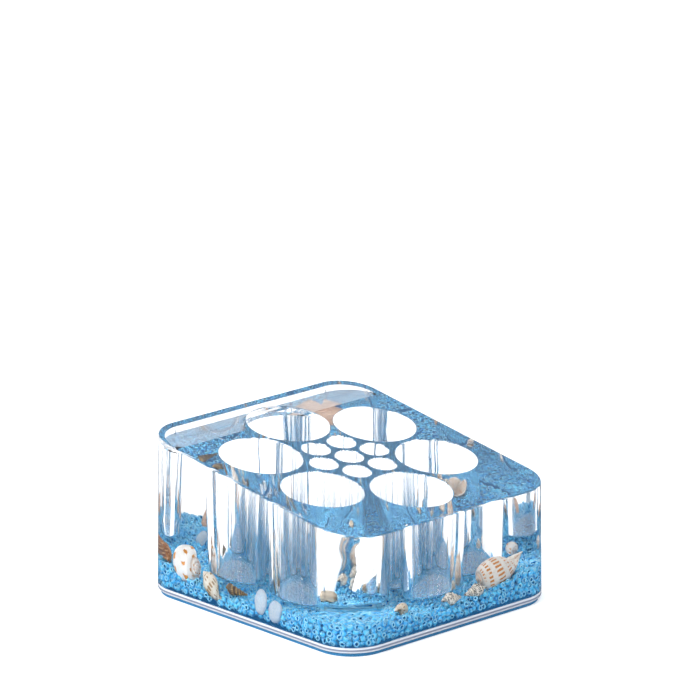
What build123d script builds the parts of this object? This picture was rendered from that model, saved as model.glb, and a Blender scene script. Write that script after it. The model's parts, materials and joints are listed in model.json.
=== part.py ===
"""Clear makeup brush holder with a sloping top, six wide wells round a cluster of seven brush holes.

The moulded body is hollow. A clear plate closes it from below, with a plug in its filling port and a soft
blue mat under it. A bed of small blue beads lies in the sealed space, with sea shells and sea glass on it.
X runs along the low front, Y runs back, Z is up, and the origin is the middle of the footprint.
"""
import math
import os

from build123d import *

os.makedirs("parts", exist_ok=True)

# Wide wells, which stand in a ring and widen upwards by a moulding draft in degrees
well_count = 6
well_mouth_diameter = 30.0
well_web = 2.5
well_draft = 2.0
well_wall = 1.6
well_floor = 1.6
well_floor_round = 1.2

# Brush holes, one in the middle and the others round it, on a ring that is a share of the ring of wells
brush_count = 6
brush_ring_share = 5 / 13
brush_web = 2.0
brush_draft = 0.8
brush_wall = 1.3

# Body
side_margin = 8.85
front_margin = 8.1
front_height = 44.0
back_height = 61.0
corner_radius = 15.0
wall_draft = 0.75
outer_wall = 2.2
deck_thickness = 2.6
deck_edge_round = 0.8
mouth_round = 0.6

# Base
mat_thickness = 1.2
mat_inset = 1.2
plate_thickness = 2.5
plate_edge_round = 1.0
port_diameter = 7.0
port_recess_diameter = 10.0
port_recess_depth = 1.0
plug_clearance = 0.05

# Bead bed: a level layer with low heaps in the corners
bed_depth = 5.0
room_under_wells = 6.7
heap_spread_share = 0.654
back_left_spread_share = 0.36
back_left_heap = 3.2
front_right_heap = 4.6
front_left_heap = 2.6
back_right_heap = 3.4

# Surface beads: the ring beads that stand out of the bed, a few of all that lie there
bead_diameter = 2.26
bead_hole_diameter = 0.9
bead_length = 1.65
bead_spacing = 6.5
bead_rise = 1.05
bead_clearance = 0.1
bead_row_heights = (1.3, 3.7)
bead_corner_count = 3

# Sea shells: length along the axis and width across the belly
spotted_whelk_length = 25.0
spotted_whelk_width = 14.8
moon_snail_length = 12.6
moon_snail_width = 13.4
small_whelk_length = 14.0
small_whelk_width = 6.6
banded_turret_length = 13.0
banded_turret_width = 4.6
front_top_shell_length = 12.0
front_top_shell_width = 4.8
middle_top_shell_length = 10.0
middle_top_shell_width = 4.6
notch_snail_length = 6.6
notch_snail_width = 5.4
side_snail_length = 8.0
side_snail_width = 5.4
back_turret_length = 13.0
back_turret_width = 4.8

# Number of whorls that show on every spiral shell
spotted_whelk_whorl_count = 4
moon_snail_whorl_count = 3
small_whelk_whorl_count = 5
banded_turret_whorl_count = 7
front_top_shell_whorl_count = 6
middle_top_shell_whorl_count = 6
notch_snail_whorl_count = 3
side_snail_whorl_count = 3
back_turret_whorl_count = 7

# Fan shells: height from hinge to rim, rise of the dome and thickness
brown_cockle_height = 10.0
brown_cockle_rise = 3.2
back_scallop_height = 15.0
back_scallop_rise = 3.6
fan_thickness = 1.1
fan_half_spread = 48.0
fan_rib_count = 9

# Sea glass: length, width and thickness of each worn piece
left_glass_length = 9.4
left_glass_width = 5.8
right_glass_length = 8.2
right_glass_width = 7.4
back_glass_length = 9.0
back_glass_width = 6.4
glass_thickness = 3.0

# How far the middle of every shell and piece of glass lies from the outer face of the wall or walls beside it
wall_insets = {
    "spotted_whelk": {"front": 10.7},
    "moon_snail": {"left": 9.7, "back": 20.0},
    "small_whelk": {"left": 6.2},
    "banded_turret": {"left": 6.9},
    "front_top_shell": {"front": 5.3},
    "middle_top_shell": {"front": 5.0},
    "notch_snail": {"front": 12.2},
    "side_snail": {"right": 5.7},
    "back_turret": {"back": 5.6},
    "brown_cockle": {"left": 12.0, "back": 7.8},
    "back_scallop": {"right": 11.4, "back": 12.2},
    "left_sea_glass": {"left": 5.5},
    "right_sea_glass": {"left": 5.5},
    "back_sea_glass": {"back": 5.6},
}

# Overrun of every cutting tool past the face that it cuts
overrun = 1.0

# Levels and rings that follow from the sizes above
plate_top = mat_thickness + plate_thickness
post_foot = plate_top + room_under_wells
floor_level = post_foot + well_floor
bed_top = plate_top + bed_depth
mean_height = (front_height + back_height) / 2
well_ring = well_mouth_diameter + well_web
brush_ring = well_ring * brush_ring_share
brush_mouth_diameter = brush_ring - brush_web
first_well_angle = 180 / well_count
side_ring = well_ring * math.cos(math.radians(first_well_angle))
body_width = 2 * (side_ring + side_margin) + well_mouth_diameter
body_depth = 2 * (well_ring + front_margin) + well_mouth_diameter
half_width = body_width / 2
half_depth = body_depth / 2
room_width = body_width - 2 * outer_wall
room_depth = body_depth - 2 * outer_wall
room_corner = corner_radius - outer_wall
deck_slope = math.degrees(math.atan2(back_height - front_height, body_depth))
deck_plane = Plane.XY.offset(mean_height).rotated((deck_slope, 0, 0))
ceiling_plane = deck_plane.offset(-deck_thickness)


def taper_radius(mouth_diameter, draft, height):
    """Radius of a leaning round wall at a height, with the mouth diameter at the deck's mean height."""
    return mouth_diameter / 2 - (mean_height - height) * math.tan(math.radians(draft))


def taper_between(mouth_diameter, draft, low, high):
    """The leaning round solid between two heights, for a well, a brush hole or the post round one."""
    with BuildPart(mode=Mode.PRIVATE) as cone:
        with BuildSketch(Plane.XY.offset(low)):
            Circle(taper_radius(mouth_diameter, draft, low))
        with BuildSketch(Plane.XY.offset(high)):
            Circle(taper_radius(mouth_diameter, draft, high))
        loft()
    return cone.part


# The sealed room inside the body: walls and ceiling, less the posts that carry the wells
above_deck = back_height + overrun
well_post = taper_between(well_mouth_diameter + 2 * well_wall, well_draft, post_foot, above_deck)
brush_post = taper_between(brush_mouth_diameter + 2 * brush_wall, brush_draft, post_foot, above_deck)
with BuildPart() as room:
    with BuildSketch(Plane.XY.offset(plate_top)):
        RectangleRounded(room_width, room_depth, room_corner)
    extrude(amount=back_height, taper=wall_draft)
    split(bisect_by=ceiling_plane, keep=Keep.BOTTOM)
    with PolarLocations(well_ring, well_count, first_well_angle):
        add(well_post, mode=Mode.SUBTRACT)
    with PolarLocations(brush_ring, brush_count):
        add(brush_post, mode=Mode.SUBTRACT)
    add(brush_post, mode=Mode.SUBTRACT)

# Clear body, moulded in one piece and open below
well_bore = taper_between(well_mouth_diameter, well_draft, floor_level, above_deck)
brush_bore = taper_between(brush_mouth_diameter, brush_draft, floor_level, above_deck)
with BuildPart() as clear_body:
    with BuildSketch(Plane.XY.offset(plate_top)):
        RectangleRounded(body_width, body_depth, corner_radius)
    extrude(amount=back_height, taper=wall_draft)
    split(bisect_by=deck_plane, keep=Keep.BOTTOM)
    deck_axis = Axis(deck_plane.origin, deck_plane.z_dir)
    fillet(clear_body.faces().sort_by(deck_axis)[-1].edges(), deck_edge_round)
    with PolarLocations(well_ring, well_count, first_well_angle):
        add(well_bore, mode=Mode.SUBTRACT)
    with PolarLocations(brush_ring, brush_count):
        add(brush_bore, mode=Mode.SUBTRACT)
    add(brush_bore, mode=Mode.SUBTRACT)
    deck = clear_body.faces().sort_by(deck_axis)[-1]
    fillet(deck.inner_wires().edges(), mouth_round)
    rims = clear_body.edges().filter_by(GeomType.CIRCLE)
    fillet(rims.filter_by_position(Axis.Z, floor_level, floor_level), well_floor_round)
    add(room.part, mode=Mode.SUBTRACT)

# Clear plate that is bonded under the walls, with both edges rounded and a filling port in the middle
with BuildPart() as base_plate:
    with BuildSketch(Plane.XY.offset(mat_thickness)):
        RectangleRounded(body_width, body_depth, corner_radius)
    extrude(amount=plate_thickness)
    fillet(base_plate.faces().filter_by(Axis.Z).edges(), plate_edge_round)
    with BuildSketch(Plane.XY.offset(mat_thickness)):
        Circle(port_diameter / 2)
    extrude(amount=plate_thickness, mode=Mode.SUBTRACT)
    with BuildSketch(Plane.XY.offset(mat_thickness)):
        Circle(port_recess_diameter / 2)
    extrude(amount=port_recess_depth, mode=Mode.SUBTRACT)

# Stepped plug, flush with both faces of the plate
with BuildPart() as fill_plug:
    with BuildSketch(Plane.XY.offset(mat_thickness)):
        Circle(port_recess_diameter / 2 - plug_clearance)
    extrude(amount=port_recess_depth)
    with BuildSketch(Plane.XY.offset(mat_thickness)):
        Circle(port_diameter / 2 - plug_clearance)
    extrude(amount=plate_thickness)

# Soft mat that the holder stands on, set in from the rounded edge of the plate
with BuildPart() as soft_mat:
    with BuildSketch():
        RectangleRounded(body_width - 2 * mat_inset, body_depth - 2 * mat_inset, corner_radius - mat_inset)
    extrude(amount=mat_thickness)

# Outlines of the shell families, as shares of the shell's own length and width
whelk_shares = {"spire": 0.36, "growth": 0.62, "shoulder": 0.74, "belly": 0.28, "lip": 0.16}
moon_shares = {"spire": 0.26, "growth": 0.55, "shoulder": 0.60, "belly": 0.45, "lip": 0.20}
turret_shares = {"spire": 0.74, "growth": 0.82, "shoulder": 0.88, "belly": 0.30, "lip": 0.36}
suture_bulge_share = 0.16
mouth_offset_share = 0.50
mouth_size_share = 0.26


def lie(name, width):
    """The plane that a piece lies on, from the walls beside it, its lift off the bed and its turn."""
    along_share, lift_share = place_shares[name]
    x = along_share * half_width
    y = along_share * half_depth
    for wall, inset in wall_insets[name].items():
        if wall in ("left", "right"):
            x = (half_width - inset) * sides[wall]
        else:
            y = (half_depth - inset) * sides[wall]
    return Plane(Location((x, y, bed_top + lift_share * width), turns[name], Extrinsic.XYZ))


def belly_height(length, shares):
    """How far from the tip a spiral shell is widest."""
    spire = length * shares["spire"]
    return spire + (length - spire) * shares["belly"]


def whorl_body(plane, length, width, whorl_count, shares):
    """A spiral shell along the plane's X, without its mouth: whorls from a pointed tip to a round belly."""
    spire = length * shares["spire"]
    whorl_shares = [shares["growth"] ** (whorl_count - k) for k in range(whorl_count)]
    reach_shares = [sum(whorl_shares[: k + 1]) / sum(whorl_shares) for k in range(whorl_count)]
    shoulder = width / 2 * shares["shoulder"]
    lip = width / 2 * shares["lip"]
    with BuildPart() as shell:
        with BuildSketch(plane):
            with BuildLine(Plane.XY):
                start = Vector(-length / 2, 0)
                tip = start
                for share in reach_shares:
                    end = Vector(-length / 2 + spire * share, shoulder * share)
                    swell = (end - start).rotate(Axis.Z, 90) * suture_bulge_share
                    ThreePointArc(start, (start + end) / 2 + swell, end)
                    start = end
                mouth_end = Vector(length / 2, lip)
                Spline(start, Vector(belly_height(length, shares) - length / 2, width / 2), mouth_end)
                Polyline(mouth_end, Vector(length / 2, 0), tip)
            make_face()
        revolve(axis=Axis(plane.origin, plane.x_dir))
    return shell


def spiral_shell(body, plane, length, width, shares):
    """A whorl body with its mouth hollowed out of the belly."""
    mouth = Vector(belly_height(length, shares) - length / 2, width * mouth_offset_share)
    with BuildPart() as shell:
        add(body.part)
        with Locations(plane.from_local_coords(mouth)):
            Sphere(width * mouth_size_share, mode=Mode.SUBTRACT)
    return shell


def fan_shell(plane, height, rise):
    """A fan shell on the plane: a thin dome cut to a fan, with one lobe of the rim for each rib."""
    step = 2 * fan_half_spread / fan_rib_count
    dome_radius = ((height / 2) ** 2 + rise**2) / (2 * rise)
    hinge = Vector(-height / 2, 0)
    angles = [k * step - fan_half_spread for k in range(fan_rib_count + 1)]
    rim = [hinge + Vector(height, 0).rotate(Axis.Z, angle) for angle in angles]
    with BuildPart() as shell:
        with BuildSketch(plane):
            with BuildLine(Plane.XY):
                for first, second in zip(rim, rim[1:]):
                    RadiusArc(first, second, -(second - first).length)
                Polyline(rim[-1], hinge, rim[0])
            make_face()
        extrude(amount=rise + overrun)
        with Locations(plane.from_local_coords(Vector(0, 0, rise - dome_radius))):
            Sphere(dome_radius, mode=Mode.INTERSECT)
            Sphere(dome_radius - fan_thickness, mode=Mode.SUBTRACT)
    return shell


def sea_glass(plane, length, width):
    """A worn piece of glass on the plane: an oval slab with its edges rounded almost to the middle."""
    edge_share = 0.46
    with BuildPart() as piece:
        with BuildSketch(plane):
            Ellipse(length / 2, width / 2)
        extrude(amount=glass_thickness / 2, both=True)
        fillet(piece.edges(), glass_thickness * edge_share)
    return piece


sides = {"left": -1, "right": 1, "front": -1, "back": 1}
# Where every piece lies: its place along the wall beside it as a share of the half footprint, 0 in a corner,
# then its lift off the bed as a share of its own width, or of its thickness for sea glass
place_shares = {
    "spotted_whelk": (0.52, 0.54), "moon_snail": (0, 0.36), "small_whelk": (0.36, 0.06),
    "banded_turret": (0.125, 0.36), "front_top_shell": (0.27, 0.66), "middle_top_shell": (0.02, 0.44),
    "notch_snail": (-0.40, 0.42), "side_snail": (0.02, 0.42), "back_turret": (-0.36, 0.44),
    "brown_cockle": (0, 0.56), "back_scallop": (0, 0.22), "left_sea_glass": (-0.115, 0.45),
    "right_sea_glass": (-0.255, -0.15), "back_sea_glass": (0.34, 0.50),
}
# How every piece is turned, in degrees about X, then Y, then Z
turns = {
    "spotted_whelk": (150, -12, 0), "moon_snail": (40, 20, 160), "small_whelk": (200, 38, -90),
    "banded_turret": (30, 0, 94), "front_top_shell": (120, -8, 0), "middle_top_shell": (150, -4, 180),
    "notch_snail": (60, -15, 215), "side_snail": (110, -10, 80), "back_turret": (70, -5, 172),
    "brown_cockle": (70, -20, 40), "back_scallop": (-24, -20, 45), "left_sea_glass": (0, -80, 8),
    "right_sea_glass": (0, -78, -12), "back_sea_glass": (64, 0, -8),
}
# Length, width, number of whorls and outline of every spiral shell
spiral_shells = {
    "spotted_whelk": (
        spotted_whelk_length, spotted_whelk_width, spotted_whelk_whorl_count, whelk_shares,
    ),
    "moon_snail": (
        moon_snail_length, moon_snail_width, moon_snail_whorl_count, moon_shares,
    ),
    "small_whelk": (
        small_whelk_length, small_whelk_width, small_whelk_whorl_count, whelk_shares,
    ),
    "banded_turret": (
        banded_turret_length, banded_turret_width, banded_turret_whorl_count, turret_shares,
    ),
    "front_top_shell": (
        front_top_shell_length, front_top_shell_width, front_top_shell_whorl_count, turret_shares,
    ),
    "middle_top_shell": (
        middle_top_shell_length, middle_top_shell_width, middle_top_shell_whorl_count, turret_shares,
    ),
    "notch_snail": (
        notch_snail_length, notch_snail_width, notch_snail_whorl_count, moon_shares,
    ),
    "side_snail": (
        side_snail_length, side_snail_width, side_snail_whorl_count, moon_shares,
    ),
    "back_turret": (
        back_turret_length, back_turret_width, back_turret_whorl_count, turret_shares,
    ),
}
fan_shells = {
    "brown_cockle": (brown_cockle_height, brown_cockle_rise),
    "back_scallop": (back_scallop_height, back_scallop_rise),
}
sea_glasses = {
    "left_sea_glass": (left_glass_length, left_glass_width),
    "right_sea_glass": (right_glass_length, right_glass_width),
    "back_sea_glass": (back_glass_length, back_glass_width),
}
keepsakes = {}
hollows = {}
for name, (length, width, whorl_count, shares) in spiral_shells.items():
    plane = lie(name, width)
    hollows[name] = whorl_body(plane, length, width, whorl_count, shares)
    keepsakes[name] = spiral_shell(hollows[name], plane, length, width, shares)
for name, (height, rise) in fan_shells.items():
    keepsakes[name] = fan_shell(lie(name, height), height, rise)
    hollows[name] = keepsakes[name]
for name, (length, width) in sea_glasses.items():
    keepsakes[name] = sea_glass(lie(name, glass_thickness), length, width)
    hollows[name] = keepsakes[name]

# Bead bed, which fills the foot of the room and closes round whatever lies in it, but leaves the mouths empty
heaps = {
    ("left", "back"): (back_left_heap, back_left_spread_share),
    ("right", "front"): (front_right_heap, heap_spread_share),
    ("left", "front"): (front_left_heap, heap_spread_share),
    ("right", "back"): (back_right_heap, heap_spread_share),
}
heap_place_share = 0.80
heap_spheres = []
for (x_wall, y_wall), (heap, spread_share) in heaps.items():
    heap_radius = ((spread_share * half_width) ** 2 + heap**2) / (2 * heap)
    heap_x = sides[x_wall] * half_width * heap_place_share
    heap_y = sides[y_wall] * half_depth * heap_place_share
    heap_spheres.append((Vector(heap_x, heap_y, bed_top + heap - heap_radius), heap_radius))


def bed_height(x, y):
    """Height of the bed's top at a place: the level layer or the highest heap over it."""
    heights = [bed_top]
    for centre, radius in heap_spheres:
        reach = (x - centre.X) ** 2 + (y - centre.Y) ** 2
        if reach < radius**2:
            heights.append(centre.Z + math.sqrt(radius**2 - reach))
    return max(heights)


def ring_bead(plane):
    """One ring bead whose end lies on the plane and whose length runs back behind it."""
    with BuildPart(mode=Mode.PRIVATE) as bead:
        with BuildSketch(plane):
            Circle(bead_diameter / 2)
            Circle(bead_hole_diameter / 2, mode=Mode.SUBTRACT)
        extrude(amount=-bead_length)
    return bead.part


hollow_boxes = [hollow.part.bounding_box() for hollow in hollows.values()]


def is_free(x, y):
    """Whether a bead at a place on the bed stays clear of every shell and piece of glass."""
    for box in hollow_boxes:
        beside_x = abs(x - box.center().X) > box.size.X / 2 + bead_diameter / 2
        beside_y = abs(y - box.center().Y) > box.size.Y / 2 + bead_diameter / 2
        if not (beside_x or beside_y):
            return False
    return True


# Beads that stand on the top, in staggered rows
bed_inset = outer_wall + bead_rise
top_planes = []
row_step = bead_spacing * math.sin(math.radians(60))
row_count = int((body_depth / 2 - bed_inset - bead_diameter) / row_step)
column_count = int((body_width / 2 - bed_inset - bead_diameter) / bead_spacing)
for row in range(-row_count, row_count + 1):
    for column in range(-column_count, column_count + 1):
        x = bead_spacing * (column + row % 2 / 2)
        y = row_step * row
        corner_x = max(0, abs(x) - (half_width - corner_radius))
        corner_y = max(0, abs(y) - (half_depth - corner_radius))
        near_wall = math.hypot(corner_x, corner_y) > corner_radius - bed_inset - bead_diameter
        if not near_wall and is_free(x, y):
            top_planes.append(Plane((x, y, bed_height(x, y) + bead_rise)))

# Beads that lie in the sides with their holes to the wall, along the straight runs and round the corners
side_planes = []
reach = outer_wall + bead_clearance
for row, row_height in enumerate(bead_row_heights):
    wall_lean = (row_height + bead_diameter / 2) * math.tan(math.radians(wall_draft))
    for span, offset, turn in ((half_width, half_depth, 0), (half_depth, half_width, 90)):
        run = span - corner_radius
        run_count = int(2 * run / bead_spacing)
        for k in range(run_count):
            along = (k + (1 + row) / (1 + len(bead_row_heights)) - run_count / 2) * bead_spacing
            for facing in (turn, turn + 180):
                out = Vector(0, -1, 0).rotate(Axis.Z, facing)
                side = Vector(1, 0, 0).rotate(Axis.Z, facing)
                spot = out * (offset - reach - wall_lean) + side * along
                side_planes.append(Plane((spot.X, spot.Y, plate_top + row_height), z_dir=out))
    for x_side in (-1, 1):
        for y_side in (-1, 1):
            for k in range(bead_corner_count):
                angle = math.radians(90 * (k + (1 + row) / (1 + len(bead_row_heights))) / bead_corner_count)
                out = Vector(x_side * math.cos(angle), y_side * math.sin(angle))
                middle = Vector(x_side * (half_width - corner_radius), y_side * (half_depth - corner_radius))
                spot = middle + out * (corner_radius - reach - wall_lean)
                side_planes.append(Plane((spot.X, spot.Y, plate_top + row_height), z_dir=out))

with BuildPart() as bead_bed:
    with BuildSketch(Plane.XY.offset(plate_top)):
        RectangleRounded(body_width - 2 * bed_inset, body_depth - 2 * bed_inset, corner_radius - bed_inset)
    extrude(amount=bed_depth + back_height)
    with BuildPart(mode=Mode.INTERSECT):
        with BuildSketch(Plane.XY.offset(plate_top)):
            Rectangle(body_width, body_depth)
        extrude(amount=bed_depth)
        for centre, radius in heap_spheres:
            with Locations(centre):
                Sphere(radius)
    add([ring_bead(plane) for plane in top_planes + side_planes])
    add(room.part, mode=Mode.INTERSECT)
    for hollow in hollows.values():
        add(hollow.part, mode=Mode.SUBTRACT)

pieces = {
    "clear_body": clear_body, "base_plate": base_plate, "fill_plug": fill_plug,
    "soft_mat": soft_mat, "bead_bed": bead_bed, **keepsakes,
}
for name, piece in pieces.items():
    piece.part.label = name
    export_step(piece.part, f"parts/{name}.step")
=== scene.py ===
"""Blender scene of the clear makeup brush holder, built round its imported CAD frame.

The moulded body, the clear plate under it and the liquid inside refract alike, so one clear block stands for
them, with the wells sunk into it and a thin pocket of air under its highest edge. Loose beads, spiral shells,
fan shells and sea glass lie inside it. All lengths are in metres.
"""
import json
import math
from collections import namedtuple

import bmesh
import bpy
import numpy as np
from mathutils import Euler, Matrix, Vector
from mathutils.bvhtree import BVHTree
from mathutils.kdtree import KDTree

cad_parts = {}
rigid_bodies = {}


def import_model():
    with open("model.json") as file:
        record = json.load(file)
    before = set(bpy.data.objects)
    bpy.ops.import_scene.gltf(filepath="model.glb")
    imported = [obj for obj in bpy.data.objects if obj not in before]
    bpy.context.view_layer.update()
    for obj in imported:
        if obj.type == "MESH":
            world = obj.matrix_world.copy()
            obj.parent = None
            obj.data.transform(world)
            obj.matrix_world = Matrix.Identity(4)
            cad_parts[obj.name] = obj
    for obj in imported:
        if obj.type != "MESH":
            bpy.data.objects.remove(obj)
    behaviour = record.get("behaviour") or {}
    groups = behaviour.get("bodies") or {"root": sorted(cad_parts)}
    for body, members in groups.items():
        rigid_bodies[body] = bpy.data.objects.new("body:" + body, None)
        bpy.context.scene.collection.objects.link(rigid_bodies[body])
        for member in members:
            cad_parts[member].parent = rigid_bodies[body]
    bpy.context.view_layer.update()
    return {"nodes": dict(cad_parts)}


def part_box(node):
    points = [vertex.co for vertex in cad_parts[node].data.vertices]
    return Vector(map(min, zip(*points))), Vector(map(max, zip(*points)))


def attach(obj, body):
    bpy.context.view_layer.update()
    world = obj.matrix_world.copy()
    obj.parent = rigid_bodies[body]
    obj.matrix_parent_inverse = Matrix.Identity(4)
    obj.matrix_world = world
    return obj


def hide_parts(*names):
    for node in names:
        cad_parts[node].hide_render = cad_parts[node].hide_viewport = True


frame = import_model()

mm = 0.001
full_turn = 2 * math.pi
scene = bpy.context.scene
scene.view_settings.view_transform = "Standard"
scene.cycles.max_bounces = 32
scene.cycles.transmission_bounces = 32
scene.cycles.glossy_bounces = 16
scene.cycles.diffuse_bounces = 6

# Camera, at the photograph's viewing angle
camera_azimuth = math.radians(-43.194)
camera_elevation = math.radians(16.416)
camera_distance = 2.054644
camera_target = Vector((-0.002582, -0.003191, 0.093575))
camera_lens = 294.85
camera_sensor = 36.0

# Studio: the floor lies a hair under the mat, so that the two never share a plane. A lamp has a place and
# a power
floor_size = 12.0
floor_gap = 0.05 * mm
floor_lift = 0.14
lamp_size = 0.8
lamp_aim = Vector((0, 0, 0.03))
lamps = {"key": ((-1.1, 0.0, 0.8), 21.0), "fill": ((0.5, -1.0, 0.8), 4.0)}

# Levels taken from the frame
mat_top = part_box("soft_mat")[1].z
plate_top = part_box("base_plate")[1].z
half_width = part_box("base_plate")[1].x
half_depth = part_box("base_plate")[1].y

# Clear block: the rounded edges of the plate leave a groove under the walls, and the mat sticks to the plate
plastic_ior = 1.49
plate_edge_round = 1.0 * mm
plate_edge_steps = 6
mat_bond = 0.05 * mm
air_level = 55.6 * mm
same_place = 0.001 * mm
corner_radius = 15.0 * mm
wall = 2.2 * mm

# Bead bed: a level layer, and in each corner a low heap with its sides, its rise and its spread as a share of
# the half width
bed_top = plate_top + 5.0 * mm
heaps = (
    (-1, 1, 3.2 * mm, 0.36),
    (1, -1, 4.6 * mm, 0.654),
    (-1, -1, 2.6 * mm, 0.654),
    (1, 1, 3.4 * mm, 0.654),
)
heap_place_share = 0.80

# Beads: the gap is from a bead's middle to what it lies against, and beads below the deepest are left out
bead_radius = 1.18 * mm
bead_length = 1.7 * mm
bead_hole_radius = 0.46 * mm
bead_round_sides = 9
bead_section_sides = 6
bead_spacing = 2.27 * mm
bead_nearest = 2.06 * mm
bead_gap = 0.96 * mm
bead_deepest = 3.6 * mm
bead_shake_share = 0.2
bead_rounds = 14
bead_seed = 7
beads_per_piece = 1600

# Spiral shells: rings and points, the tube's size and its distance from the axis as shares of the width, how
# square the tube and how slim its foot is, where its shoulder is and how wide, how much of a rib shows off the
# shoulder, the mouth's place, and the reach and the darkness of the painted shade on the seam between two
# whorls
rings_a_turn = 30
ring_points = 36
tube_share = 0.52
axis_share = 0.48
tube_power = 0.8
foot_power = 1.5
shoulder_place = 0.45
shoulder_width = 0.5
rib_off_shoulder = 0.35
mouth_angle = math.radians(200)
seam_reach_share = 0.06
painted_seam_shade_level = 0.7

# Rings of the lip and of the mouth behind it: their size, and how far they are drawn back along the turn
lip_rings = ((1.04, 0.0), (0.99, -0.03), (0.86, 0.0), (0.82, 0.25), (0.78, 0.6), (0.5, 0.9))

# Fan shells: shares of the height, and of the rise for the dome
fan_spread = math.radians(96)
fan_rows = 18
fan_columns_a_rib = 8
fan_hinge_share = 0.04
fan_scallop_share = 0.03
fan_rib_share = 0.018
fan_dome_start_share = 0.12
fan_dome_run_share = 0.76
fan_dome_droop = 1.2
fan_dome_lift = 1.05
fan_sink_share = 0.35
fan_thickness = 0.8 * mm

# Sea glass
glass_grain = 0.3 * mm
glass_swell = 1.0 * mm
glass_swell_size = 4.0 * mm


# Selecting and finishing

def only(piece):
    """Makes a piece the only selected object, and the active one."""
    bpy.ops.object.select_all(action="DESELECT")
    piece.select_set(True)
    bpy.context.view_layer.objects.active = piece


def edit(piece, mode="VERT"):
    """Opens a piece in edit mode with nothing selected, and returns its bmesh."""
    only(piece)
    bpy.ops.object.mode_set(mode="EDIT")
    bpy.ops.mesh.select_mode(type=mode)
    bpy.ops.mesh.select_all(action="DESELECT")
    return bmesh.from_edit_mesh(piece.data)


def close_edit():
    """Leaves edit mode."""
    bpy.ops.object.mode_set(mode="OBJECT")


def apply_modifier(piece, kind, **settings):
    """Adds a modifier to a piece and applies it."""
    only(piece)
    modifier = piece.modifiers.new(kind.title(), kind)
    for key, value in settings.items():
        setattr(modifier, key, value)
    bpy.ops.object.modifier_apply(modifier=modifier.name)


def shade(piece, angle):
    """Shades a piece smooth, apart from edges sharper than an angle in degrees."""
    only(piece)
    bpy.ops.object.shade_smooth_by_angle(angle=math.radians(angle))


def install(piece, material, slot, *nodes):
    """Gives a finished piece its material and its body, and hides the CAD nodes that it stands for. The slot
    is not used.
    """
    piece.data.materials.clear()
    piece.data.materials.append(material)
    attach(piece, "root")
    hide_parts(*nodes)


# Node helpers

def new_material(name):
    """An empty material with a Principled BSDF, and its node tree."""
    material = bpy.data.materials.new(name)
    material.use_nodes = True
    tree = material.node_tree
    return material, tree, tree.nodes["Principled BSDF"]


def fill(tree, made, inputs):
    """Sets a node's inputs to values, or links them to sockets."""
    for key, value in inputs.items():
        if isinstance(value, bpy.types.NodeSocket):
            tree.links.new(value, made.inputs[key])
        else:
            made.inputs[key].default_value = value


def node(tree, kind, inputs=None, **settings):
    """Adds a node, sets its properties and fills its inputs."""
    made = tree.nodes.new(kind)
    for key, value in settings.items():
        setattr(made, key, value)
    fill(tree, made, inputs or {})
    return made


def maths(tree, operation, *values, clamp=False):
    """The outcome of a sum or a comparison."""
    made = node(tree, "ShaderNodeMath", dict(enumerate(values)), operation=operation, use_clamp=clamp)
    return made.outputs[0]


def spread(tree, value, low, high, to_low=0.0, to_high=1.0):
    """A value carried from one range to another, and held within it."""
    made = node(tree, "ShaderNodeMapRange", {"Value": value, "From Min": low, "From Max": high,
                                             "To Min": to_low, "To Max": to_high})
    return made.outputs["Result"]


def ramp(tree, factor, stops):
    """A colour ramp over a factor, from (place, colour) stops."""
    made = node(tree, "ShaderNodeValToRGB", {"Fac": factor})
    elements = made.color_ramp.elements
    while len(elements) < len(stops):
        elements.new(0.5)
    for element, (place, colour) in zip(elements, stops):
        element.position = place
        element.color = (*colour, 1.0)
    return made.outputs["Color"]


def mixed(tree, factor, first, second):
    """A colour that goes from the first to the second by a factor."""
    colours = [c if isinstance(c, bpy.types.NodeSocket) else (*c, 1.0) for c in (first, second)]
    made = node(tree, "ShaderNodeMix", data_type="RGBA")
    fill(tree, made, {0: factor, 6: colours[0], 7: colours[1]})
    return made.outputs[2]


def split(tree, vector):
    """The X, Y and Z of a vector."""
    return node(tree, "ShaderNodeSeparateXYZ", {"Vector": vector}).outputs


def object_place(tree):
    """The place on a piece."""
    return node(tree, "ShaderNodeTexCoord").outputs["Object"]


def whorl_place(tree):
    """The place on a shell's UV map, whose X counts the turns and whose Y goes round the whorl."""
    return split(tree, node(tree, "ShaderNodeUVMap", uv_map="whorl").outputs[0])


def attribute(tree, name):
    """A value that a piece carries at its vertices."""
    return node(tree, "ShaderNodeAttribute", attribute_name=name).outputs["Fac"]


def noise(tree, scale, detail=3.0):
    """Noise on Object coordinates, with its scale in features per metre."""
    inputs = {"Vector": object_place(tree), "Scale": scale, "Detail": detail}
    return node(tree, "ShaderNodeTexNoise", inputs).outputs["Fac"]


def bump(tree, shader, height, strength, distance):
    """Feeds a height into a shader's normal."""
    made = node(tree, "ShaderNodeBump", {"Height": height, "Strength": strength, "Distance": distance})
    fill(tree, shader, {"Normal": made.outputs["Normal"]})


# Materials

def clear_plastic():
    """Clear moulded plastic: polished, with a faint waviness and a trace of handling haze."""
    material, tree, shader = new_material("clear_plastic")
    fill(tree, shader, {
        "Base Color": (1.0, 1.0, 1.0, 1.0),
        "Transmission Weight": 1.0,
        "IOR": plastic_ior,
        "Roughness": spread(tree, noise(tree, 260.0), 0.55, 0.8, 0.0, 0.03),
    })
    bump(tree, shader, noise(tree, 60.0, 1.0), 0.02, 0.2 * mm)
    return material


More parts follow.
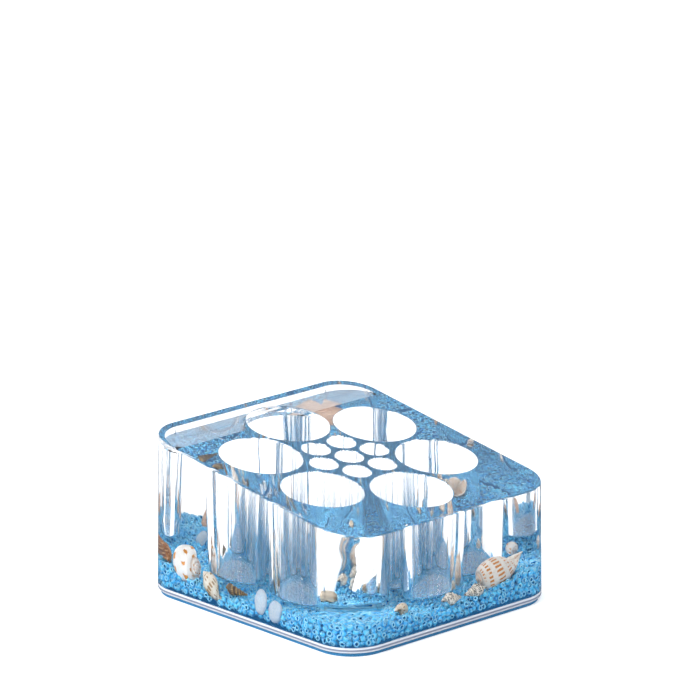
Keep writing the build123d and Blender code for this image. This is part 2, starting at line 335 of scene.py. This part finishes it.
def painted_highlight_edge():
    """Rounded plate edge: two painted highlights on a painted lilac grey reflection, with painted shade at
    both ends.
    """
    material, tree, shader = new_material("painted_highlight_edge")
    height = spread(tree, split(tree, object_place(tree))["Z"], mat_top, plate_top)
    # Painted light in the colour: white for highlights, lilac grey for the reflected room, dark for shade at
    # the ends
    white, lilac, dark = (0.82, 0.83, 0.85), (0.26, 0.27, 0.33), (0.05, 0.10, 0.17)
    lines = [(0.0, dark), (0.10, white), (0.30, white), (0.42, lilac), (0.60, lilac), (0.70, white),
             (0.86, white), (0.94, dark)]
    fill(tree, shader, {
        "Base Color": ramp(tree, height, lines),
        "Transmission Weight": 0.4,
        "IOR": plastic_ior,
        "Roughness": spread(tree, noise(tree, 700.0), 0.0, 1.0, 0.1, 0.25),
    })
    return material


def blue_foam():
    """Blue foam sheet: fine open cells, and on its top a painted glow that stands for the light coming down
    through the beads.
    """
    material, tree, shader = new_material("blue_foam")
    cells = noise(tree, 2600.0, 2.0)
    normal = node(tree, "ShaderNodeNewGeometry").outputs["Normal"]
    # Painted light: the top faces glow, in place of light that comes down through the beads
    painted_glow_mask = spread(tree, split(tree, normal)["Z"], 0.4, 0.6)
    fill(tree, shader, {
        "Base Color": ramp(tree, cells, [(0.3, (0.012, 0.10, 0.22)), (0.7, (0.025, 0.18, 0.36))]),
        "Roughness": 0.8,
        "Emission Color": mixed(tree, painted_glow_mask, (0, 0, 0), (0.006, 0.08, 0.175)),
        "Emission Strength": 1.0,
    })
    bump(tree, shader, cells, 0.4, 0.15 * mm)
    return material


def blue_beads():
    """Glass seed beads: painted highlights on the pale rims, painted shade deeper blue in the holes, and a
    tone of its own for every bead.
    """
    material, tree, shader = new_material("blue_beads")
    rim = attribute(tree, "rim")
    side = mixed(tree, attribute(tree, "tone"), (0.025, 0.43, 0.90), (0.08, 0.60, 0.96))
    # Painted shade in the holes and painted highlights on the rims, by the rim value
    colour = mixed(tree, spread(tree, rim, 0.0, 0.5), (0.005, 0.15, 0.52), side)
    colour = mixed(tree, spread(tree, rim, 0.5, 1.0, 0.0, 0.8), colour, (0.45, 0.86, 0.99))
    fill(tree, shader, {"Base Color": colour, "Roughness": 0.22})
    return material


def marks_group():
    """Node group for rows of dashes on a shell's whorls: a mask from its UV map."""
    group = bpy.data.node_groups.new("whorl_dashes", "ShaderNodeTree")
    for name in ("Dashes a turn", "Rows", "Gap", "Wander"):
        group.interface.new_socket(name, in_out="INPUT", socket_type="NodeSocketFloat")
    group.interface.new_socket("Mask", in_out="OUTPUT", socket_type="NodeSocketFloat")
    given = group.nodes.new("NodeGroupInput").outputs
    leave = group.nodes.new("NodeGroupOutput")
    whorl = whorl_place(group)
    shifted = maths(group, "MULTIPLY_ADD", noise(group, 500.0, 1.0), given["Wander"], whorl["X"])
    along = maths(group, "MULTIPLY", shifted, given["Dashes a turn"])
    across = maths(group, "MULTIPLY", whorl["Y"], given["Rows"])
    place = node(group, "ShaderNodeCombineXYZ", {"X": along, "Y": across}).outputs[0]
    bricks = node(group, "ShaderNodeTexBrick", {"Vector": place, "Scale": 1.0, "Brick Width": 1.0,
                                                "Row Height": 1.0, "Mortar Size": given["Gap"],
                                                "Mortar Smooth": 0.3})
    dashes = maths(group, "SUBTRACT", 1.0, bricks.outputs["Fac"])
    patches = spread(group, noise(group, 330.0, 1.0), 0.38, 0.48)
    fill(group, leave, {"Mask": maths(group, "MULTIPLY", dashes, patches)})
    return group


def shell_material(name, ground, shaded, mark, dashes, rows, gap, wander, bands=0.0, specks=0.0):
    """Sea shell: chalky ground with growth lines, rows of marks along the whorls, painted shade along the seam
    between whorls and a silky gloss.
    """
    material, tree, shader = new_material(name)
    given = {"Dashes a turn": dashes, "Rows": rows, "Gap": gap, "Wander": wander}
    marks = node(tree, "ShaderNodeGroup", given, node_tree=whorl_dashes)
    cloud = noise(tree, 420.0)
    colour = ramp(tree, cloud, [(0.35, shaded), (0.62, ground)])
    if bands:
        stripes = maths(tree, "PINGPONG", maths(tree, "MULTIPLY", whorl_place(tree)["Y"], bands), 1.0)
        colour = mixed(tree, spread(tree, stripes, 0.35, 0.65), colour, mark)
    colour = mixed(tree, marks.outputs["Mask"], colour, mark)
    # Painted shade: darker colour along the seam where two whorls meet
    painted_seam_shade_colour = [painted_seam_shade_level * (s + m) / 2 for s, m in zip(shaded, mark)]
    colour = mixed(tree, attribute(tree, "seam"), colour, painted_seam_shade_colour)
    if specks:
        colour = mixed(tree, spread(tree, noise(tree, specks, 2.0), 0.56, 0.62), colour, mark)
    fill(tree, shader, {"Base Color": colour, "Roughness": spread(tree, cloud, 0.0, 1.0, 0.28, 0.5)})
    bump(tree, shader, noise(tree, 1500.0), 0.15, 0.1 * mm)
    return material


def frosted_glass():
    """Sea glass: pale blue, worn matt, a little lighter where the surface is pitted."""
    material, tree, shader = new_material("sea_glass")
    pits = noise(tree, 1400.0)
    fill(tree, shader, {
        "Base Color": ramp(tree, pits, [(0.35, (0.70, 0.81, 0.90)), (0.65, (0.88, 0.93, 0.96))]),
        "Roughness": 0.55,
        "Transmission Weight": 0.45,
        "IOR": 1.3,
    })
    bump(tree, shader, pits, 0.3, 0.1 * mm)
    return material


# Clear block

def copy_of(cad_node, name):
    """A copy of a CAD node's mesh as a piece of its own, with its doubles merged."""
    piece = bpy.data.objects.new(name, frame["nodes"][cad_node].data.copy())
    scene.collection.objects.link(piece)
    edit(piece)
    bpy.ops.mesh.select_all(action="SELECT")
    bpy.ops.mesh.remove_doubles(threshold=same_place)
    close_edit()
    return piece


def foot_profile():
    """Inset and height of each line round the foot: the plate's upper edge, its lower edge and the mat."""
    angles = [math.radians(90 * k / plate_edge_steps) for k in range(plate_edge_steps + 1)]
    insets = [plate_edge_round * (1 - math.cos(a)) for a in angles]
    rises = [plate_edge_round * math.sin(a) for a in angles]
    high = plate_top - plate_edge_round
    low = mat_top + plate_edge_round
    upper = [(inset, high + rise) for inset, rise in zip(insets, rises)]
    lower = [(inset, low - rise) for inset, rise in zip(insets, rises)]
    return upper[::-1] + lower + [(plate_edge_round, mat_top - mat_bond)]


def clear_block():
    """The block: the body without its room, carried down over the plate's edge and closed under it."""
    block = copy_of("clear_body", "clear_block")

    # The wall's underside goes, which parts the outside from the room
    mesh = edit(block, "FACE")
    for face in mesh.faces:
        face.select = all(abs(v.co.z - plate_top) < same_place for v in face.verts)
    bpy.ops.mesh.delete(type="FACE")
    bpy.ops.mesh.select_mode(type="VERT")
    mesh = bmesh.from_edit_mesh(block.data)
    max(mesh.verts, key=lambda v: v.co.z).select = True
    mesh.select_flush(True)
    bpy.ops.mesh.select_linked()
    bpy.ops.mesh.select_all(action="INVERT")
    bpy.ops.mesh.separate(type="SELECTED")
    close_edit()
    room = next(o for o in bpy.context.selected_objects if o is not block)

    # The outside is drawn down along the plate's edge
    mesh = edit(block, "EDGE")
    for edge in mesh.edges:
        edge.select = edge.is_boundary
    inset, height = 0.0, plate_top
    for next_inset, next_height in foot_profile():
        bpy.ops.mesh.extrude_region()
        bpy.ops.transform.translate(value=(0, 0, next_height - height))
        bpy.ops.transform.resize(value=((half_width - next_inset) / (half_width - inset),
                                        (half_depth - next_inset) / (half_depth - inset), 1),
                                 center_override=(0, 0, 0))
        inset, height = next_inset, next_height
    bpy.ops.mesh.edge_face_add()
    bpy.ops.mesh.select_all(action="SELECT")
    bpy.ops.mesh.normals_make_consistent(inside=False)
    close_edit()

    # Of the room only the pocket of air is kept
    edit(room)
    bpy.ops.mesh.select_all(action="SELECT")
    bpy.ops.mesh.bisect(plane_co=(0, 0, air_level), plane_no=(0, 0, 1), use_fill=True, clear_inner=True)
    bpy.ops.mesh.select_all(action="SELECT")
    bpy.ops.mesh.normals_make_consistent(inside=True)
    close_edit()
    only(block)
    room.select_set(True)
    bpy.ops.object.join()
    shade(block, 30)
    apply_modifier(block, "WEIGHTED_NORMAL", weight=50, keep_sharp=True)
    return block


# Meshes from arrays

def mesh_piece(name, verts, faces):
    """A piece from arrays of vertices and of faces with equal sides, shaded smooth."""
    mesh = bpy.data.meshes.new(name)
    mesh.vertices.add(len(verts))
    mesh.vertices.foreach_set("co", np.asarray(verts, np.float32).ravel())
    mesh.loops.add(faces.size)
    mesh.loops.foreach_set("vertex_index", faces.astype(np.int32).ravel())
    mesh.polygons.add(len(faces))
    mesh.polygons.foreach_set("loop_start", np.arange(0, faces.size, faces.shape[1], dtype=np.int32))
    mesh.update(calc_edges=True)
    mesh.shade_smooth()
    piece = bpy.data.objects.new(name, mesh)
    scene.collection.objects.link(piece)
    return piece


def add_values(piece, name, values):
    """Gives a piece a value at every vertex."""
    made = piece.data.attributes.new(name, "FLOAT", "POINT")
    made.data.foreach_set("value", values.astype(np.float32).ravel())


def add_whorl_map(piece, uv):
    """Gives a piece the UV map that the shell materials read."""
    piece.data.uv_layers.new(name="whorl").data.foreach_set("uv", uv.astype(np.float32).ravel())


def placed(verts, place, turn):
    """Vertices turned by three angles in degrees and moved to a place."""
    matrix = Matrix.Translation(place) @ Euler([math.radians(a) for a in turn]).to_matrix().to_4x4()
    return np.array(verts) @ np.array(matrix.to_3x3()).T + np.array(matrix.translation)


# Beads

def bead_shape():
    """One seed bead, turned from a torus: its vertices, its faces and how near each vertex is to a rim."""
    half_thick = (bead_radius - bead_hole_radius) / 2
    middle = bead_radius - half_thick
    stretch = bead_length / 2 / (half_thick * math.sin(full_turn / bead_section_sides))
    bpy.ops.object.select_all(action="DESELECT")
    bpy.ops.mesh.primitive_torus_add(major_segments=bead_round_sides, minor_segments=bead_section_sides,
                                     major_radius=middle, minor_radius=half_thick)
    torus = bpy.context.object
    bpy.ops.object.mode_set(mode="EDIT")
    bpy.ops.mesh.select_all(action="SELECT")
    bpy.ops.transform.resize(value=(1, 1, stretch))
    close_edit()
    verts = np.array([v.co for v in torus.data.vertices])
    faces = np.array([p.vertices for p in torus.data.polygons])
    outside = np.hypot(verts[:, 0], verts[:, 1]) > middle
    at_end = np.abs(verts[:, 2]) > bead_length / 4
    # Rim value: 0 in the hole for painted shade, up to 1 at the ends for painted highlights
    rim = np.where(at_end, np.where(outside, 0.8, 1.0), np.where(outside, 0.5, 0.0))
    bpy.data.objects.remove(torus)
    return verts, faces, rim


def bed_heights(x, y):
    """Height of the bed's top over an array of places: the level layer or the highest heap."""
    tops = np.full(len(x), bed_top)
    for x_side, y_side, rise, spread_share in heaps:
        radius = ((spread_share * half_width) ** 2 + rise**2) / (2 * rise)
        across = x - x_side * half_width * heap_place_share
        along = y - y_side * half_depth * heap_place_share
        cap = np.sqrt(np.maximum(radius**2 - (across**2 + along**2), 0))
        tops = np.maximum(tops, bed_top + rise - radius + cap)
    return tops


def search_tree(names):
    """One search tree of several CAD nodes."""
    verts, faces = [], []
    for name in names:
        mesh = frame["nodes"][name].data
        faces += [[len(verts) + k for k in p.vertices] for p in mesh.polygons]
        verts += [v.co for v in mesh.vertices]
    return BVHTree.FromPolygons(verts, faces)


def bead_lattice(rng):
    """A close lattice of places through the bed, shaken, and cut off at its top and at the walls."""
    row, layer = bead_spacing * math.sqrt(3) / 2, bead_spacing * math.sqrt(2 / 3)
    layers = int((max(rise for _, _, rise, _ in heaps) + bed_top - plate_top) / layer) + 1
    places = []
    for k in range(layers):
        for j in range(int(2 * half_depth / row) + 1):
            for i in range(int(2 * half_width / bead_spacing) + 1):
                shift = (j % 2 + k % 2) * bead_spacing / 2
                places.append((i * bead_spacing + shift - half_width, (j + k % 2 / 3) * row - half_depth,
                               plate_top + bead_gap + k * layer))
    places = np.array(places) + rng.normal(0, bead_spacing * bead_shake_share, (len(places), 3))
    tops = bed_heights(places[:, 0], places[:, 1]) - bead_gap
    straight = (half_width - corner_radius, half_depth - corner_radius)
    past_straight = np.maximum(np.abs(places[:, :2]) - straight, 0)
    in_room = np.hypot(past_straight[:, 0], past_straight[:, 1]) < corner_radius - wall - bead_gap / 2
    return places[in_room & (places[:, 2] < tops + bead_gap / 2)]


def bead_places(rng):
    """Where the beads lie: pushed apart and off the solids, with none between a shell and the wall by it."""
    plain = {"clear_body", "base_plate", "fill_plug", "soft_mat", "bead_bed"}
    keepsakes = sorted(set(frame["nodes"]) - plain)
    solids = search_tree(["clear_body"] + keepsakes)
    walls = search_tree(["clear_body"])
    shown = search_tree(keepsakes)

    def settle(points, first):
        """Keeps points off the solids. The first time, drops those inside them, deep down or by a wall."""
        tops = bed_heights(points[:, 0], points[:, 1]) - bead_gap
        points[:, 2] = np.clip(points[:, 2], plate_top + bead_gap, tops)
        kept = []
        for point, top in zip(points, tops):
            skin, normal, _, gap = solids.find_nearest(Vector(point))
            inside = (Vector(point) - skin).dot(normal) < 0
            if first and (inside or min(gap, top - point[2]) > bead_deepest):
                continue
            beside = max(shown.find_nearest(Vector(point))[3], walls.find_nearest(Vector(point))[3])
            if first and beside < 2 * bead_radius:
                continue
            kept.append(np.array(skin + normal * bead_gap) if inside or gap < bead_gap else point)
        return np.array(kept)

    places = settle(bead_lattice(rng), True)
    for _ in range(bead_rounds):
        tree = KDTree(len(places))
        for k, point in enumerate(places):
            tree.insert(point, k)
        tree.balance()
        push = np.zeros_like(places)
        for k, point in enumerate(places):
            for other, _, gap in tree.find_range(point, bead_nearest):
                if gap > 0:
                    push[k] += (point - np.array(other)) / gap * (bead_nearest - gap) / 2
        places = settle(places + push, False)
    return places


def random_turns(rng, count):
    """Random turns, as an array of rotation matrices from unit quaternions."""
    q = rng.normal(size=(count, 4))
    w, x, y, z = (q / np.linalg.norm(q, axis=1)[:, None]).T
    rows = [[1 - 2 * (y * y + z * z), 2 * (x * y - z * w), 2 * (x * z + y * w)],
            [2 * (x * y + z * w), 1 - 2 * (x * x + z * z), 2 * (y * z - x * w)],
            [2 * (x * z - y * w), 2 * (y * z + x * w), 1 - 2 * (x * x + y * y)]]
    return np.array([[np.broadcast_to(c, count) for c in r] for r in rows]).transpose(2, 0, 1)


def add_beads(material):
    """Lays the beads, sorted round the footprint into pieces of a fair size."""
    rng = np.random.default_rng(bead_seed)
    shape, faces, rim = bead_shape()
    places = bead_places(rng)
    places = places[np.argsort(np.arctan2(places[:, 1], places[:, 0]))]
    turns = random_turns(rng, len(places))
    tones = rng.random(len(places))
    count = math.ceil(len(places) / beads_per_piece)
    for k, batch in enumerate(np.array_split(np.arange(len(places)), count)):
        verts = np.einsum("bij,vj->bvi", turns[batch], shape) + places[batch][:, None]
        joined = faces[None] + (np.arange(len(batch)) * len(shape))[:, None, None]
        piece = mesh_piece(f"beads_{k + 1}", verts.reshape(-1, 3), joined.reshape(-1, faces.shape[1]))
        add_values(piece, "rim", np.tile(rim, len(batch)))
        add_values(piece, "tone", np.repeat(tones[batch], len(shape)))
        install(piece, material, "blue_beads", "bead_bed")


# Shells and sea glass

def seams(coil, rings, width, form):
    """How near each vertex of a coil is to the seam between two whorls, up to 1 where they meet."""
    seam = np.zeros(coil.shape[:2])
    for k in range(rings + 1 - rings_a_turn):
        later = k + rings_a_turn
        reach = width * seam_reach_share * form.growth ** (later / rings_a_turn - form.whorls)
        gaps = np.linalg.norm(coil[k][:, None] - coil[later][None], axis=2)
        seam[k] = np.maximum(seam[k], 1 - gaps.min(axis=1) / reach)
        seam[later] = np.maximum(seam[later], 1 - gaps.min(axis=0) / reach)
    return seam


def spiral_shell(name, length, width, place, turn, form):
    """A coiled tube along X from its apex, wound closer than it is wide, with a lip and an open mouth."""
    rings = int(form.whorls * rings_a_turn)
    end = form.whorls * full_turn
    half_tall = length * form.belly
    drop = length - half_tall
    narrow = form.growth**-0.5
    across = width * tube_share / (1 + narrow)
    off_axis = width * axis_share / (1 + narrow)
    aside = width / 2 * (1 - narrow) / (1 + narrow)
    verts, turns_at, round_at = [], [], []

    def ring(theta, grow, back=0.0):
        """One ring of the tube: grow widens it, back draws it into the mouth."""
        scale = form.growth ** (theta / full_turn - form.whorls)
        angle = theta - back - end + mouth_angle
        for j in range(ring_points):
            phi = math.pi + full_turn * j / ring_points
            cos, sin = math.cos(phi), math.sin(phi)
            slim = 1 - form.canal * max(0.0, sin) ** foot_power
            shoulder = math.exp(-((sin + shoulder_place) / shoulder_width) ** 2) * (0.5 + 0.5 * cos)
            shown = rib_off_shoulder + (1 - rib_off_shoulder) * shoulder
            relief = (1 + form.rib_depth * shown * math.cos(form.ribs * theta)) * (
                1 + form.cord_depth * math.cos(form.cords * phi))
            fat = math.copysign(abs(cos) ** tube_power, cos)
            tall = math.copysign(abs(sin) ** tube_power, sin)
            out = scale * (off_axis * slim + across * fat * slim * grow * relief)
            verts.append((scale * (drop + half_tall * tall * grow) - length / 2,
                          out * math.cos(angle) - aside * math.cos(mouth_angle),
                          out * math.sin(angle) - aside * math.sin(mouth_angle)))
            turns_at.append(theta / full_turn)
            round_at.append(j / ring_points)

    for k in range(rings + 1):
        ring(end * k / rings, 1.0)
    for grow, back in lip_rings:
        ring(end, grow, back)
    count = rings + 1 + len(lip_rings)
    i, j = np.meshgrid(np.arange(count - 1), np.arange(ring_points), indexing="ij")
    after = (j + 1) % ring_points
    faces = np.stack([i * ring_points + j, i * ring_points + after, (i + 1) * ring_points + after,
                      (i + 1) * ring_points + j], -1).reshape(-1, 4)
    piece = mesh_piece(name, placed(verts, place, turn), faces)
    u = np.array(turns_at)[faces]
    v = np.array(round_at)[faces]
    v[:, 1:3] = np.where(v[:, 1:3] < v[:, [0]], 1.0, v[:, 1:3])
    add_whorl_map(piece, np.stack([u, v], -1))
    add_values(piece, "seam", seams(np.array(verts).reshape(count, ring_points, 3), rings, width, form))
    mesh = edit(piece, "EDGE")
    for edge in mesh.edges:
        edge.select = edge.is_boundary
    bpy.ops.mesh.fill_holes(sides=ring_points + 1)
    bpy.ops.mesh.select_all(action="SELECT")
    bpy.ops.mesh.normals_make_consistent(inside=False)
    close_edit()
    return piece


def fan_shell(name, height, rise, place, turn, ribs):
    """A ribbed fan from its hinge to a scalloped rim, domed, with a real thickness."""
    columns = ribs * fan_columns_a_rib
    verts, whorl = [], []
    for r in range(fan_rows + 1):
        reach = fan_hinge_share + (1 - fan_hinge_share) * r / fan_rows
        for c in range(columns + 1):
            side = c / columns
            angle = (side - 0.5) * fan_spread
            wave = math.cos(full_turn * ribs * side)
            far = height * reach * (1 - fan_scallop_share * (1 + wave) / 2 * reach)
            arch = math.sin(math.pi * (fan_dome_start_share + fan_dome_run_share * reach))
            dome = rise * arch * math.cos(angle * fan_dome_droop) * fan_dome_lift
            verts.append((far * math.cos(angle) - height / 2, far * math.sin(angle),
                          dome - rise * fan_sink_share + wave * fan_rib_share * height * reach))
            whorl.append((side, r / fan_rows))
    i, j = np.meshgrid(np.arange(fan_rows), np.arange(columns), indexing="ij")
    wide = columns + 1
    faces = np.stack([i * wide + j, (i + 1) * wide + j, (i + 1) * wide + j + 1, i * wide + j + 1],
                     -1).reshape(-1, 4)
    piece = mesh_piece(name, placed(verts, place, turn), faces)
    add_whorl_map(piece, np.array(whorl)[faces])
    apply_modifier(piece, "SOLIDIFY", thickness=fan_thickness, offset=-1.0)
    return piece


def sea_glass(cad_node):
    """A worn piece of glass: the CAD outline, remeshed evenly, with its surface a little swollen."""
    piece = copy_of(cad_node, f"{cad_node}_worn")
    apply_modifier(piece, "REMESH", mode="VOXEL", voxel_size=glass_grain)
    swell = bpy.data.textures.new("swell", "CLOUDS")
    swell.noise_scale = glass_swell_size
    apply_modifier(piece, "DISPLACE", texture=swell, strength=glass_swell, texture_coords="LOCAL")
    apply_modifier(piece, "SMOOTH", factor=0.5, iterations=6)
    shade(piece, 180)
    return piece


# Studio

def add_floor():
    """Pale floor, white to the eye and through the plastic, and darker where the plastic mirrors it."""
    bpy.ops.object.select_all(action="DESELECT")
    bpy.ops.mesh.primitive_plane_add(size=floor_size, location=(0, 0, -floor_gap))
    floor = bpy.context.object
    floor.name = "floor"
    material, tree, shader = new_material("white_sweep")
    path = node(tree, "ShaderNodeLightPath").outputs
    seen = maths(tree, "MAXIMUM", path["Is Camera Ray"], path["Is Transmission Ray"])
    mirrored = maths(tree, "SUBTRACT", path["Is Glossy Ray"], path["Is Transmission Ray"], clamp=True)
    fill(tree, shader, {
        "Roughness": 0.9,
        "Specular IOR Level": 0.0,
        "Base Color": mixed(tree, mirrored, (0.9, 0.9, 0.9), (0.12, 0.13, 0.15)),
        "Emission Color": (1, 1, 1, 1),
        "Emission Strength": maths(tree, "MULTIPLY", seen, floor_lift),
    })
    floor.data.materials.append(material)


def add_world():
    """Soft light all round. Mirror and glass rays see a paler or darker room, and the camera sees white."""
    world = bpy.data.worlds.new("studio")
    scene.world = world
    world.use_nodes = True
    tree = world.node_tree
    light = tree.nodes["Background"]
    fill(tree, light, {"Color": (0.93, 0.96, 1.0, 1), "Strength": 1.15})
    direction = node(tree, "ShaderNodeTexCoord").outputs["Generated"]
    facing = node(tree, "ShaderNodeVectorMath", {0: direction, 1: (-0.68, -0.73, 0.0)},
                  operation="DOT_PRODUCT")
    to_camera = spread(tree, facing.outputs["Value"], -1.0, 1.0)
    room = ramp(tree, to_camera, [(0.0, (0.5, 0.52, 0.55)), (0.30, (0.8, 0.8, 0.82)),
                                  (0.60, (0.45, 0.46, 0.5)), (0.95, (0.05, 0.05, 0.06))])
    behind = ramp(tree, to_camera, [(0.50, (1, 1, 1)), (0.75, (0.82, 0.84, 0.88)), (0.95, (0.6, 0.62, 0.68))])
    path = node(tree, "ShaderNodeLightPath").outputs
    bent = maths(tree, "MAXIMUM", path["Is Glossy Ray"], path["Is Transmission Ray"])
    shown = maths(tree, "MULTIPLY", bent, maths(tree, "LESS_THAN", path["Diffuse Depth"], 0.5))
    sight = mixed(tree, path["Is Transmission Ray"], room, behind)
    backdrop = node(tree, "ShaderNodeBackground", {"Color": sight, "Strength": 1.0})
    white = node(tree, "ShaderNodeBackground", {"Color": (1, 1, 1, 1), "Strength": 1.0})
    bent_or_light = node(tree, "ShaderNodeMixShader", {0: shown, 1: light.outputs[0], 2: backdrop.outputs[0]})
    final = node(tree, "ShaderNodeMixShader", {0: path["Is Camera Ray"], 1: bent_or_light.outputs[0],
                                               2: white.outputs[0]})
    fill(tree, tree.nodes["World Output"], {"Surface": final.outputs[0]})


def add_lamps():
    """Soft lamps, aimed at the middle of the object."""
    for name, (spot, power) in lamps.items():
        lamp = bpy.data.lights.new(name, "AREA")
        lamp.size = lamp_size
        lamp.energy = power
        holder = bpy.data.objects.new(name, lamp)
        holder.location = spot
        holder.rotation_euler = (lamp_aim - Vector(spot)).to_track_quat("-Z", "Y").to_euler()
        scene.collection.objects.link(holder)


def add_camera():
    """Camera on its line of sight."""
    lens = bpy.data.cameras.new("camera")
    lens.lens = camera_lens
    lens.sensor_width = camera_sensor
    camera = bpy.data.objects.new("camera", lens)
    back = Vector((math.sin(camera_azimuth) * math.cos(camera_elevation),
                   -math.cos(camera_azimuth) * math.cos(camera_elevation), math.sin(camera_elevation)))
    camera.location = camera_target + back * camera_distance
    camera.rotation_euler = (-back).to_track_quat("-Z", "Y").to_euler()
    scene.collection.objects.link(camera)
    scene.camera = camera


add_floor()
add_world()
add_lamps()
add_camera()

# The clear block, with the plate's edge in a material of its own that carries painted highlights, and the two
# CAD pieces shown as they are
plastic = clear_plastic()
block = clear_block()
install(block, plastic, "clear_plastic", "clear_body", "base_plate")
block.data.materials.append(painted_highlight_edge())
for polygon in block.data.polygons:
    polygon.material_index = int(polygon.center.z < plate_top and abs(polygon.normal.z) < 0.9)
for cad_node, material in (("soft_mat", blue_foam()), ("fill_plug", plastic)):
    frame["nodes"][cad_node].data.materials.clear()
    frame["nodes"][cad_node].data.materials.append(material)
add_beads(blue_beads())

# Forms of the spiral shells: whorls, growth a whorl, half height of the mouth as a share of the length,
# narrowing of the foot, ribs a turn and their depth, and cords and their depth
Form = namedtuple("Form", "whorls growth belly canal ribs rib_depth cords cord_depth")
whelk = Form(5.0, 1.8, 0.40, 0.62, 15, 0.15, 9, 0.045)
stout = Form(4.5, 2.15, 0.45, 0.34, 0, 0.0, 22, 0.006)
moon = Form(4.6, 1.75, 0.43, 0.15, 0, 0.0, 0, 0.0)
turret = Form(8.5, 1.30, 0.15, 0.35, 16, 0.07, 5, 0.02)
knobbed = Form(5.0, 1.5, 0.26, 0.40, 9, 0.22, 5, 0.05)

# Shell materials: ground, shaded ground and mark, then dashes a turn, rows, gap, wander, bands and specks
whorl_dashes = marks_group()
cream = shell_material(
    "spotted_cream", (0.80, 0.76, 0.71), (0.70, 0.64, 0.56), (0.56, 0.20, 0.025), 21, 11, 0.29, 0.02)
porcelain = shell_material(
    "spotted_white", (0.95, 0.93, 0.91), (0.90, 0.87, 0.83), (0.68, 0.27, 0.03), 8, 6, 0.32, 0.08)
streaked = shell_material(
    "streaked_tan", (0.88, 0.83, 0.73), (0.72, 0.61, 0.45), (0.34, 0.20, 0.08), 15, 9, 0.30, 0.04)
banded = shell_material(
    "banded_brown", (0.66, 0.45, 0.17), (0.46, 0.29, 0.11), (0.09, 0.055, 0.03), 16, 4, 0.30, 0.02, bands=6.0)
speckled = shell_material(
    "speckled_grey", (0.90, 0.87, 0.80), (0.74, 0.66, 0.54), (0.05, 0.035, 0.025), 22, 9, 0.30, 0.05,
    specks=1300.0)
beige = shell_material(
    "beige", (0.70, 0.60, 0.47), (0.52, 0.42, 0.31), (0.35, 0.22, 0.12), 10, 4, 0.36, 0.08)
chestnut = shell_material(
    "chestnut", (0.42, 0.17, 0.05), (0.22, 0.075, 0.025), (0.60, 0.34, 0.16), 9, 7, 0.34, 0.03)
peach = shell_material(
    "peach", (0.78, 0.55, 0.42), (0.66, 0.42, 0.31), (0.50, 0.25, 0.16), 9, 6, 0.38, 0.03)
frosted = frosted_glass()

# Spiral shells: length, width and place in millimetres, turn in degrees, form, material and slot
shells = {
    "spotted_whelk": (25.0, 14.8, (27.04, -44.9, 16.69), (150, -12, 0), stout, cream, "cream_shell"),
    "moon_snail": (14.2, 14.2, (-42.1, 35.6, 13.52), (-90, 8, 80), moon, porcelain, "cream_shell"),
    "small_whelk": (14.8, 7.8, (-45.3, 19.4, 9.0), (115, 38, -90), whelk, streaked, "tan_shell"),
    "banded_turret": (13.0, 4.6, (-45.1, 6.95, 10.36), (0, 0, 94), turret, banded, "brown_shell"),
    "front_top_shell": (11.6, 5.2, (11.8, -50.5, 11.5), (120, -8, 0), knobbed, speckled, "grey_shell"),
    "middle_top_shell": (10.2, 5.2, (0.8, -50.3, 10.9), (0, -4, 180), knobbed, speckled, "grey_shell"),
    "notch_snail": (6.6, 5.4, (-20.8, -43.4, 10.97), (-10, -15, 215), moon, beige, "tan_shell"),
    "side_snail": (8.0, 5.4, (46.3, 1.11, 10.97), (110, -10, 80), moon, porcelain, "cream_shell"),
    "back_turret": (13.0, 4.8, (-18.72, 50.0, 10.81), (70, -5, 172), turret, banded, "brown_shell"),
}
for name, (length, width, place, turn, form, material, slot) in shells.items():
    piece = spiral_shell(f"{name}_coil", length * mm, width * mm, Vector(place) * mm, turn, form)
    install(piece, material, slot, name)

# Fan shells: height, rise and place in millimetres, turn in degrees, ribs, material and slot
fans = {
    "brown_cockle": (10.0, 3.2, (-40.0, 47.8, 14.3), (70, -20, 40), 9, chestnut, "brown_shell"),
    "back_scallop": (15.0, 3.6, (40.6, 43.4, 12.0), (-24, -20, 45), 11, peach, "tan_shell"),
}
for name, (height, rise, place, turn, ribs, material, slot) in fans.items():
    piece = fan_shell(f"{name}_fan", height * mm, rise * mm, Vector(place) * mm, turn, ribs)
    install(piece, material, slot, name)
for name in ("left_sea_glass", "right_sea_glass", "back_sea_glass"):
    install(sea_glass(name), frosted, "sea_glass", name)
